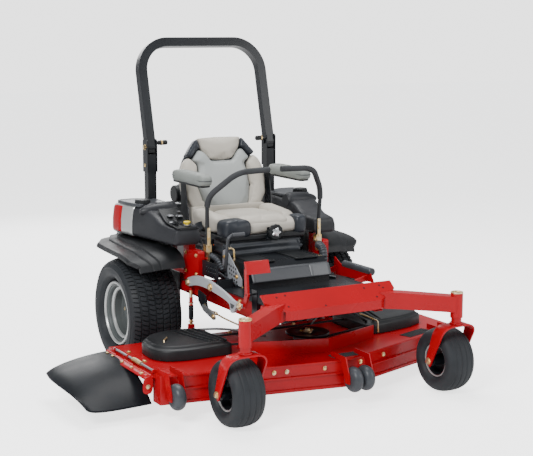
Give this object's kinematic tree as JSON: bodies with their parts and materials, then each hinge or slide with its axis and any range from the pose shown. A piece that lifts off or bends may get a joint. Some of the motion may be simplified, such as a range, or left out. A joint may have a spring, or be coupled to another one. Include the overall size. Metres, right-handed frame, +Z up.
{
  "type": "zero turn mower",
  "caption": "Ride-on zero turn mower with mid-mounted side-discharge deck, twin steering levers, suspension seat and folding roll bar.",
  "frame": {"origin": "on the ground under the middle of the machine's overall footprint, discharge deflector down", "axes": "+Z up, +X towards the operator's left (the machine's width), the front of the machine faces -Y"},
  "size_m": [2.222, 2.1349, 1.791],
  "materials": {
    "red_paint": "gloss",
    "black_paint": "satin",
    "black_plastic": "matte",
    "grey_plastic": "satin",
    "tyre_rubber": "matte",
    "rim_grey": "satin",
    "zinc": "satin",
    "steel": "satin",
    "seat_foam": "matte",
    "cast": "satin",
    "rubber": "matte"
  },
  "bodies": {
    "chassis": {"main_frame": "red_paint", "front_beam": "red_paint", "caster_arms": "red_paint", "rear_guard": "black_paint", "floor_pan": "black_paint", "seat_console": "black_plastic", "fuel_tank_right": "grey_plastic", "fuel_tank_left": "grey_plastic", "fenders": "black_plastic", "control_panel": "black_plastic", "rops_uprights": "black_paint", "engine_block": "cast", "engine_shroud": "black_paint", "air_cleaner": "black_plastic", "muffler": "steel", "drive_units": "cast", "seat_boot": "rubber", "control_brackets": "black_paint"},
    "roll_hoop": {"rops_hoop": "black_paint"},
    "seat_carriage": {"seat_suspension": "black_paint"},
    "seat": {"seat_pan": "black_paint", "seat_cushion": "seat_foam", "seat_back": "seat_foam"},
    "seat_adjuster": {"seat_knob": "black_plastic"},
    "brake_lever": {"parking_brake_lever": "black_paint"},
    "pto_switch": {"pto_knob": "grey_plastic"},
    "throttle": {"throttle_lever": "black_plastic"},
    "lift": {"lift_shaft": "black_paint"},
    "pedal": {"foot_pedal": "red_paint"},
    "link": {"lift_link": "steel"},
    "deck": {"deck_shell": "red_paint", "spindle_housings": "cast", "deck_belt": "rubber", "belt_covers": "black_plastic", "deck_brackets": "red_paint"},
    "chute": {"deflector": "rubber"},
    "roller_right": {"roller_front_right": "black_plastic"},
    "roller_centre": {"roller_front_centre": "black_plastic"},
    "roller_left": {"roller_front_left": "black_plastic"},
    "caster_right": {"caster_fork_right": "red_paint"},
    "caster_wheel_right": {"caster_rim_right": "black_paint", "caster_tyre_right": "tyre_rubber"},
    "drive_wheel_right": {"drive_rim_right": "rim_grey", "drive_tyre_right": "tyre_rubber"},
    "hoop_pin_right": {"rops_pin_right": "zinc"},
    "lever_carrier_right": {"lever_bracket_right": "zinc"},
    "steering_lever_right": {"control_lever_right": "black_paint"},
    "arm_right": {"armrest_right": "seat_foam"},
    "caster_left": {"caster_fork_left": "red_paint"},
    "caster_wheel_left": {"caster_rim_left": "black_paint", "caster_tyre_left": "tyre_rubber"},
    "drive_wheel_left": {"drive_rim_left": "rim_grey", "drive_tyre_left": "tyre_rubber"},
    "hoop_pin_left": {"rops_pin_left": "zinc"},
    "lever_carrier_left": {"lever_bracket_left": "zinc"},
    "steering_lever_left": {"control_lever_left": "black_paint"},
    "arm_left": {"armrest_left": "seat_foam"},
    "spindle_right": {"blade_spindle_right": "steel"},
    "spindle_centre": {"blade_spindle_centre": "steel"},
    "spindle_left": {"blade_spindle_left": "steel"}
  },
  "joints": [
    {"name": "caster_swivel_right", "type": "hinge", "parent": "chassis", "child": "caster_right", "pos_m": [-0.455, -0.9885, 0.4], "axis": [0, 0, 1], "continuous": true},
    {"name": "caster_wheel_spin_right", "type": "hinge", "parent": "caster_right", "child": "caster_wheel_right", "pos_m": [-0.455, -0.9025, 0.165], "axis": [1, 0, 0], "continuous": true},
    {"name": "drive_wheel_spin_right", "type": "hinge", "parent": "chassis", "child": "drive_wheel_right", "pos_m": [-0.422, 0.3225, 0.305], "axis": [1, 0, 0], "continuous": true},
    {"name": "hoop_pin_pull_right", "type": "slide", "parent": "chassis", "child": "hoop_pin_right", "axis": [1, 0, 0], "range_m": [0, 0.012]},
    {"name": "lever_stroke_right", "type": "hinge", "parent": "chassis", "child": "lever_carrier_right", "pos_m": [-0.19, -0.0815, 0.64], "axis": [1, 0, 0], "range_deg": [-6, 15]},
    {"name": "lever_swing_right", "type": "hinge", "parent": "lever_carrier_right", "child": "steering_lever_right", "pos_m": [-0.19, -0.0815, 0.7], "axis": [0, -1, 0], "range_deg": [0, 35]},
    {"name": "armrest_lift_right", "type": "hinge", "parent": "seat", "child": "arm_right", "pos_m": [-0.156, 0.3625, 1.035], "axis": [-1, 0, 0], "range_deg": [0, 90]},
    {"name": "caster_swivel_left", "type": "hinge", "parent": "chassis", "child": "caster_left", "pos_m": [0.755, -0.9885, 0.4], "axis": [0, 0, 1], "continuous": true},
    {"name": "caster_wheel_spin_left", "type": "hinge", "parent": "caster_left", "child": "caster_wheel_left", "pos_m": [0.755, -0.9025, 0.165], "axis": [1, 0, 0], "continuous": true},
    {"name": "drive_wheel_spin_left", "type": "hinge", "parent": "chassis", "child": "drive_wheel_left", "pos_m": [0.722, 0.3225, 0.305], "axis": [1, 0, 0], "continuous": true},
    {"name": "hoop_pin_pull_left", "type": "slide", "parent": "chassis", "child": "hoop_pin_left", "axis": [-1, 0, 0], "range_m": [0, 0.012]},
    {"name": "lever_stroke_left", "type": "hinge", "parent": "chassis", "child": "lever_carrier_left", "pos_m": [0.49, -0.0815, 0.64], "axis": [1, 0, 0], "range_deg": [-6, 15]},
    {"name": "lever_swing_left", "type": "hinge", "parent": "lever_carrier_left", "child": "steering_lever_left", "pos_m": [0.49, -0.0815, 0.7], "axis": [0, 1, 0], "range_deg": [0, 35]},
    {"name": "armrest_lift_left", "type": "hinge", "parent": "seat", "child": "arm_left", "pos_m": [0.456, 0.3625, 1.035], "axis": [-1, 0, 0], "range_deg": [0, 90]},
    {"name": "hoop_fold", "type": "hinge", "parent": "chassis", "child": "roll_hoop", "pos_m": [0.15, 0.5455, 1.182], "axis": [-1, 0, 0], "range_deg": [0, 90]},
    {"name": "seat_suspension_travel", "type": "slide", "parent": "chassis", "child": "seat_carriage", "axis": [0, 0, 1], "range_m": [-0.03, 0], "stiffness_N_per_m": 14000, "springref_m": 0.04, "deforming": ["seat_boot"]},
    {"name": "seat_slide", "type": "slide", "parent": "seat_carriage", "child": "seat", "axis": [0, 1, 0], "range_m": [-0.025, 0.04]},
    {"name": "seat_adjuster_turn", "type": "hinge", "parent": "seat", "child": "seat_adjuster", "pos_m": [0.184, -0.1275, 0.76], "axis": [0, 1, 0], "continuous": true},
    {"name": "brake_lever_throw", "type": "hinge", "parent": "chassis", "child": "brake_lever", "pos_m": [-0.12, -0.1475, 0.56], "axis": [1, 0, 0], "range_deg": [0, 25]},
    {"name": "pto_pull", "type": "slide", "parent": "chassis", "child": "pto_switch", "axis": [0, 0, 1], "range_m": [0, 0.01]},
    {"name": "throttle_throw", "type": "hinge", "parent": "chassis", "child": "throttle", "pos_m": [-0.302, 0.0575, 0.822], "axis": [1, 0, 0], "range_deg": [-15, 25]},
    {"name": "deck_height", "type": "slide", "parent": "chassis", "child": "deck", "axis": [0, 0, 1], "range_m": [-0.055, 0.04]},
    {"name": "lift_shaft_turn", "type": "hinge", "parent": "chassis", "child": "lift", "pos_m": [0.15, 0.0605, 0.474], "axis": [1, 0, 0], "range_deg": [-23, 32]},
    {"name": "pedal_swing", "type": "hinge", "parent": "chassis", "child": "pedal", "pos_m": [-0.255, -0.6375, 0.555], "axis": [1, 0, 0], "range_deg": [-22, 16]},
    {"name": "link_swing", "type": "hinge", "parent": "pedal", "child": "link", "pos_m": [-0.27, -0.6125, 0.497], "axis": [1, 0, 0], "range_deg": [-13, 18]},
    {"name": "blade_spin_right", "type": "hinge", "parent": "deck", "child": "spindle_right", "pos_m": [-0.372, -0.3225, 0.17], "axis": [0, 0, 1], "continuous": true},
    {"name": "blade_spin_centre", "type": "hinge", "parent": "deck", "child": "spindle_centre", "pos_m": [0.188, -0.4775, 0.17], "axis": [0, 0, 1], "continuous": true},
    {"name": "blade_spin_left", "type": "hinge", "parent": "deck", "child": "spindle_left", "pos_m": [0.748, -0.3225, 0.17], "axis": [0, 0, 1], "continuous": true},
    {"name": "chute_lift", "type": "hinge", "parent": "deck", "child": "chute", "pos_m": [-0.755, -0.3275, 0.206], "axis": [0, 1, 0], "range_deg": [0, 80]},
    {"name": "roller_spin_right", "type": "hinge", "parent": "deck", "child": "roller_right", "pos_m": [-0.686, -0.7415, 0.131], "axis": [1, 0, 0], "continuous": true},
    {"name": "roller_spin_centre", "type": "hinge", "parent": "deck", "child": "roller_centre", "pos_m": [0.234, -0.8995, 0.131], "axis": [1, 0, 0], "continuous": true},
    {"name": "roller_spin_left", "type": "hinge", "parent": "deck", "child": "roller_left", "pos_m": [0.98, -0.6455, 0.131], "axis": [1, 0, 0], "continuous": true}
  ],
  "couplings": [
    {"joint": "lift_shaft_turn", "follows": "deck_height", "rad_per_m": -9.709},
    {"joint": "pedal_swing", "follows": "deck_height", "rad_per_m": 6.7},
    {"joint": "link_swing", "follows": "deck_height", "rad_per_m": -5.36},
    {"joint": "blade_spin_right", "follows": "blade_spin_centre", "ratio": 1},
    {"joint": "blade_spin_left", "follows": "blade_spin_centre", "ratio": 1}
  ]
}
